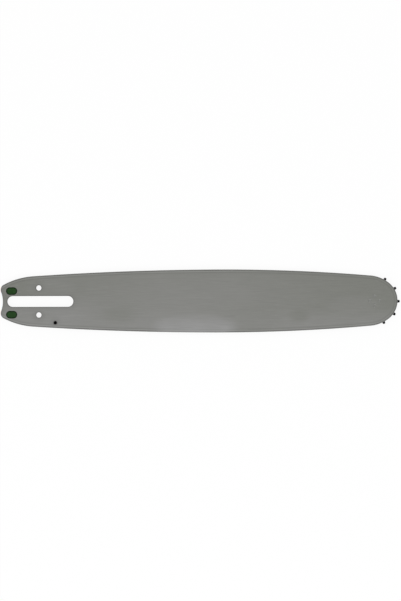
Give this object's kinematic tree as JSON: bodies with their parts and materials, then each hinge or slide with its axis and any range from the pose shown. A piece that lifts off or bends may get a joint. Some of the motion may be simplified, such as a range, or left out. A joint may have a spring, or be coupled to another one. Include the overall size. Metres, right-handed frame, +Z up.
{
  "type": "chainsaw guide bar",
  "caption": "Laminated steel chainsaw guide bar with a stud slot, chain groove and a free-turning toothed sprocket in its nose.",
  "frame": {"origin": "middle of the stud slot, on the lower face that the bar lies on", "axes": "+X along the bar towards the nose, +Y across it towards the upper rail of the picture, +Z up through its thickness"},
  "size_m": [0.4432, 0.07, 0.0047],
  "materials": {
    "plate_steel": "matte, fine blasted",
    "core_steel": "dark mill scale",
    "sprocket_steel": "black oxide",
    "bearing_steel": "ground",
    "rivet_steel": "ground flush",
    "mark_enamel": "dark green enamel"
  },
  "bodies": {
    "bar": {"side_plate_top": "plate_steel", "side_plate_bottom": "plate_steel", "core_plate": "core_steel", "bearing_hub": "bearing_steel", "nose_rivets": "rivet_steel", "green_mark_upper": "mark_enamel", "green_mark_lower": "mark_enamel"},
    "sprocket": {"nose_sprocket": "sprocket_steel"},
    "roller_set": {"bearing_roller_01": "bearing_steel", "bearing_roller_02": "bearing_steel", "bearing_roller_03": "bearing_steel", "bearing_roller_04": "bearing_steel", "bearing_roller_05": "bearing_steel", "bearing_roller_06": "bearing_steel", "bearing_roller_07": "bearing_steel", "bearing_roller_08": "bearing_steel", "bearing_roller_09": "bearing_steel", "bearing_roller_10": "bearing_steel", "bearing_roller_11": "bearing_steel", "bearing_roller_12": "bearing_steel", "bearing_roller_13": "bearing_steel", "bearing_roller_14": "bearing_steel", "bearing_roller_15": "bearing_steel", "bearing_roller_16": "bearing_steel", "bearing_roller_17": "bearing_steel", "bearing_roller_18": "bearing_steel"}
  },
  "joints": [
    {"name": "sprocket_spin", "type": "hinge", "parent": "bar", "child": "sprocket", "pos_m": [0.3712, 0, 0.00232], "axis": [0, 0, 1], "continuous": true},
    {"name": "roller_orbit", "type": "hinge", "parent": "bar", "child": "roller_set", "pos_m": [0.3712, 0, 0.00232], "axis": [0, 0, 1], "continuous": true}
  ],
  "couplings": [
    {"joint": "roller_orbit", "follows": "sprocket_spin", "ratio": 0.58665}
  ]
}
